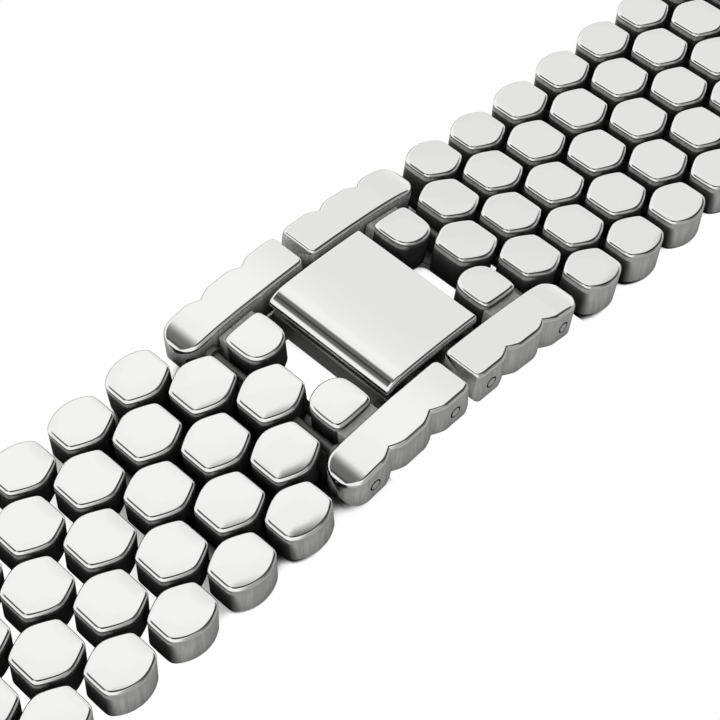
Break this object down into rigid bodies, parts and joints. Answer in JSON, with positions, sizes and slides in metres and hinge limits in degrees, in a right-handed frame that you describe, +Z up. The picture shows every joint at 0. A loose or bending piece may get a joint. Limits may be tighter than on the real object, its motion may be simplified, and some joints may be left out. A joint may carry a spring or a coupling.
{
  "type": "metal watch bracelet",
  "caption": "Polished metal watch bracelet of six-sided links on cross pins, with a fold-over clasp under a flip lid in its middle and bored end links for spring bars.",
  "frame": {"origin": "on the table under the middle of the clasp, halfway between the strap's ends", "axes": "+X runs along the strap from the lid's finger edge towards its hinge, Y crosses the strap, +Z points up, away from the wrist"},
  "size_m": [0.1518, 0.022, 0.0058],
  "materials": {
    "links": "mirror-polished stainless steel",
    "plates": "polished stainless steel sheet",
    "pins": "drawn stainless steel"
  },
  "bodies": {
    "base": {"base_plate": "plates", "left_near_rail": "links", "left_far_rail": "links", "left_inner_pin": "pins", "left_outer_pin": "pins", "left_small_links": "links", "left_centre_link": "links", "blade_pin": "pins"},
    "blade": {"blade": "plates", "lid_pin": "pins"},
    "lid": {"lid": "links"},
    "right_frame": {"right_near_rail": "links", "right_far_rail": "links", "right_inner_pin": "pins", "right_outer_pin": "pins", "right_small_links": "links", "right_centre_link": "links"},
    "left_row_02": {"left_row_02": "links"},
    "left_row_03": {"left_row_03": "links"},
    "left_row_04": {"left_row_04": "links"},
    "left_row_05": {"left_row_05": "links"},
    "left_row_06": {"left_row_06": "links"},
    "left_row_07": {"left_row_07": "links"},
    "left_row_08": {"left_row_08": "links"},
    "left_row_09": {"left_row_09": "links"},
    "left_row_10": {"left_row_10": "links"},
    "left_row_11": {"left_row_11": "links"},
    "left_row_12": {"left_row_12": "links"},
    "left_row_13": {"left_row_13": "links"},
    "left_row_14": {"left_row_14": "links"},
    "left_row_15": {"left_row_15": "links"},
    "left_row_16": {"left_row_16": "links"},
    "left_row_17": {"left_row_17": "links"},
    "left_row_18": {"left_row_18": "links"},
    "left_row_19": {"left_row_19": "links"},
    "left_row_20": {"left_row_20": "links"},
    "left_end_link": {"left_end_link": "links"},
    "right_row_02": {"right_row_02": "links"},
    "right_row_03": {"right_row_03": "links"},
    "right_row_04": {"right_row_04": "links"},
    "right_row_05": {"right_row_05": "links"},
    "right_row_06": {"right_row_06": "links"},
    "right_row_07": {"right_row_07": "links"},
    "right_row_08": {"right_row_08": "links"},
    "right_row_09": {"right_row_09": "links"},
    "right_row_10": {"right_row_10": "links"},
    "right_row_11": {"right_row_11": "links"},
    "right_row_12": {"right_row_12": "links"},
    "right_row_13": {"right_row_13": "links"},
    "right_row_14": {"right_row_14": "links"},
    "right_row_15": {"right_row_15": "links"},
    "right_row_16": {"right_row_16": "links"},
    "right_row_17": {"right_row_17": "links"},
    "right_row_18": {"right_row_18": "links"},
    "right_row_19": {"right_row_19": "links"},
    "right_row_20": {"right_row_20": "links"},
    "right_end_link": {"right_end_link": "links"}
  },
  "joints": [
    {"name": "blade_fold", "type": "hinge", "parent": "base", "child": "blade", "pos_m": [0.0112, 0, 0.00077], "axis": [0, 1, 0], "range_deg": [0, 120]},
    {"name": "frame_fold", "type": "hinge", "parent": "blade", "child": "right_frame", "pos_m": [0.0021, 0, 0.00383], "axis": [0, -1, 0], "range_deg": [0, 100]},
    {"name": "lid_flip", "type": "hinge", "parent": "blade", "child": "lid", "pos_m": [0.0043, 0, 0.00408], "axis": [0, -1, 0], "range_deg": [-70, 0]},
    {"name": "left_hinge_02", "type": "hinge", "parent": "base", "child": "left_row_02", "pos_m": [-0.01256, 0, 0.00299], "axis": [0, 1, 0], "range_deg": [-13, 6]},
    {"name": "left_hinge_03", "type": "hinge", "parent": "left_row_02", "child": "left_row_03", "pos_m": [-0.01547, 0, 0.00254], "axis": [0, 1, 0], "range_deg": [-13, 6]},
    {"name": "left_hinge_04", "type": "hinge", "parent": "left_row_03", "child": "left_row_04", "pos_m": [-0.0184, 0, 0.00219], "axis": [0, 1, 0], "range_deg": [-13, 6]},
    {"name": "left_hinge_05", "type": "hinge", "parent": "left_row_04", "child": "left_row_05", "pos_m": [-0.02134, 0, 0.00192], "axis": [0, 1, 0], "range_deg": [-13, 6]},
    {"name": "left_hinge_06", "type": "hinge", "parent": "left_row_05", "child": "left_row_06", "pos_m": [-0.02429, 0, 0.00174], "axis": [0, 1, 0], "range_deg": [-13, 6]},
    {"name": "left_hinge_07", "type": "hinge", "parent": "left_row_06", "child": "left_row_07", "pos_m": [-0.02723, 0, 0.00165], "axis": [0, 1, 0], "range_deg": [-13, 6]},
    {"name": "left_hinge_08", "type": "hinge", "parent": "left_row_07", "child": "left_row_08", "pos_m": [-0.03018, 0, 0.00165], "axis": [0, 1, 0], "range_deg": [-13, 6]},
    {"name": "left_hinge_09", "type": "hinge", "parent": "left_row_08", "child": "left_row_09", "pos_m": [-0.03313, 0, 0.00165], "axis": [0, 1, 0], "range_deg": [-13, 6]},
    {"name": "left_hinge_10", "type": "hinge", "parent": "left_row_09", "child": "left_row_10", "pos_m": [-0.03608, 0, 0.00165], "axis": [0, 1, 0], "range_deg": [-13, 6]},
    {"name": "left_hinge_11", "type": "hinge", "parent": "left_row_10", "child": "left_row_11", "pos_m": [-0.03903, 0, 0.00165], "axis": [0, 1, 0], "range_deg": [-13, 6]},
    {"name": "left_hinge_12", "type": "hinge", "parent": "left_row_11", "child": "left_row_12", "pos_m": [-0.04198, 0, 0.00165], "axis": [0, 1, 0], "range_deg": [-13, 6]},
    {"name": "left_hinge_13", "type": "hinge", "parent": "left_row_12", "child": "left_row_13", "pos_m": [-0.04493, 0, 0.00165], "axis": [0, 1, 0], "range_deg": [-13, 6]},
    {"name": "left_hinge_14", "type": "hinge", "parent": "left_row_13", "child": "left_row_14", "pos_m": [-0.04788, 0, 0.00165], "axis": [0, 1, 0], "range_deg": [-13, 6]},
    {"name": "left_hinge_15", "type": "hinge", "parent": "left_row_14", "child": "left_row_15", "pos_m": [-0.05083, 0, 0.00165], "axis": [0, 1, 0], "range_deg": [-13, 6]},
    {"name": "left_hinge_16", "type": "hinge", "parent": "left_row_15", "child": "left_row_16", "pos_m": [-0.05378, 0, 0.00165], "axis": [0, 1, 0], "range_deg": [-13, 6]},
    {"name": "left_hinge_17", "type": "hinge", "parent": "left_row_16", "child": "left_row_17", "pos_m": [-0.05673, 0, 0.00165], "axis": [0, 1, 0], "range_deg": [-13, 6]},
    {"name": "left_hinge_18", "type": "hinge", "parent": "left_row_17", "child": "left_row_18", "pos_m": [-0.05968, 0, 0.00165], "axis": [0, 1, 0], "range_deg": [-13, 6]},
    {"name": "left_hinge_19", "type": "hinge", "parent": "left_row_18", "child": "left_row_19", "pos_m": [-0.06263, 0, 0.00165], "axis": [0, 1, 0], "range_deg": [-13, 6]},
    {"name": "left_hinge_20", "type": "hinge", "parent": "left_row_19", "child": "left_row_20", "pos_m": [-0.06558, 0, 0.00165], "axis": [0, 1, 0], "range_deg": [-13, 6]},
    {"name": "left_hinge_21", "type": "hinge", "parent": "left_row_20", "child": "left_end_link", "pos_m": [-0.06853, 0, 0.00165], "axis": [0, 1, 0], "range_deg": [-13, 6]},
    {"name": "right_hinge_02", "type": "hinge", "parent": "right_frame", "child": "right_row_02", "pos_m": [0.01256, 0, 0.00299], "axis": [0, 1, 0], "range_deg": [-6, 13]},
    {"name": "right_hinge_03", "type": "hinge", "parent": "right_row_02", "child": "right_row_03", "pos_m": [0.01547, 0, 0.00254], "axis": [0, 1, 0], "range_deg": [-6, 13]},
    {"name": "right_hinge_04", "type": "hinge", "parent": "right_row_03", "child": "right_row_04", "pos_m": [0.0184, 0, 0.00219], "axis": [0, 1, 0], "range_deg": [-6, 13]},
    {"name": "right_hinge_05", "type": "hinge", "parent": "right_row_04", "child": "right_row_05", "pos_m": [0.02134, 0, 0.00192], "axis": [0, 1, 0], "range_deg": [-6, 13]},
    {"name": "right_hinge_06", "type": "hinge", "parent": "right_row_05", "child": "right_row_06", "pos_m": [0.02429, 0, 0.00174], "axis": [0, 1, 0], "range_deg": [-6, 13]},
    {"name": "right_hinge_07", "type": "hinge", "parent": "right_row_06", "child": "right_row_07", "pos_m": [0.02723, 0, 0.00165], "axis": [0, 1, 0], "range_deg": [-6, 13]},
    {"name": "right_hinge_08", "type": "hinge", "parent": "right_row_07", "child": "right_row_08", "pos_m": [0.03018, 0, 0.00165], "axis": [0, 1, 0], "range_deg": [-6, 13]},
    {"name": "right_hinge_09", "type": "hinge", "parent": "right_row_08", "child": "right_row_09", "pos_m": [0.03313, 0, 0.00165], "axis": [0, 1, 0], "range_deg": [-6, 13]},
    {"name": "right_hinge_10", "type": "hinge", "parent": "right_row_09", "child": "right_row_10", "pos_m": [0.03608, 0, 0.00165], "axis": [0, 1, 0], "range_deg": [-6, 13]},
    {"name": "right_hinge_11", "type": "hinge", "parent": "right_row_10", "child": "right_row_11", "pos_m": [0.03903, 0, 0.00165], "axis": [0, 1, 0], "range_deg": [-6, 13]},
    {"name": "right_hinge_12", "type": "hinge", "parent": "right_row_11", "child": "right_row_12", "pos_m": [0.04198, 0, 0.00165], "axis": [0, 1, 0], "range_deg": [-6, 13]},
    {"name": "right_hinge_13", "type": "hinge", "parent": "right_row_12", "child": "right_row_13", "pos_m": [0.04493, 0, 0.00165], "axis": [0, 1, 0], "range_deg": [-6, 13]},
    {"name": "right_hinge_14", "type": "hinge", "parent": "right_row_13", "child": "right_row_14", "pos_m": [0.04788, 0, 0.00165], "axis": [0, 1, 0], "range_deg": [-6, 13]},
    {"name": "right_hinge_15", "type": "hinge", "parent": "right_row_14", "child": "right_row_15", "pos_m": [0.05083, 0, 0.00165], "axis": [0, 1, 0], "range_deg": [-6, 13]},
    {"name": "right_hinge_16", "type": "hinge", "parent": "right_row_15", "child": "right_row_16", "pos_m": [0.05378, 0, 0.00165], "axis": [0, 1, 0], "range_deg": [-6, 13]},
    {"name": "right_hinge_17", "type": "hinge", "parent": "right_row_16", "child": "right_row_17", "pos_m": [0.05673, 0, 0.00165], "axis": [0, 1, 0], "range_deg": [-6, 13]},
    {"name": "right_hinge_18", "type": "hinge", "parent": "right_row_17", "child": "right_row_18", "pos_m": [0.05968, 0, 0.00165], "axis": [0, 1, 0], "range_deg": [-6, 13]},
    {"name": "right_hinge_19", "type": "hinge", "parent": "right_row_18", "child": "right_row_19", "pos_m": [0.06263, 0, 0.00165], "axis": [0, 1, 0], "range_deg": [-6, 13]},
    {"name": "right_hinge_20", "type": "hinge", "parent": "right_row_19", "child": "right_row_20", "pos_m": [0.06558, 0, 0.00165], "axis": [0, 1, 0], "range_deg": [-6, 13]},
    {"name": "right_hinge_21", "type": "hinge", "parent": "right_row_20", "child": "right_end_link", "pos_m": [0.06853, 0, 0.00165], "axis": [0, 1, 0], "range_deg": [-6, 13]}
  ]
}
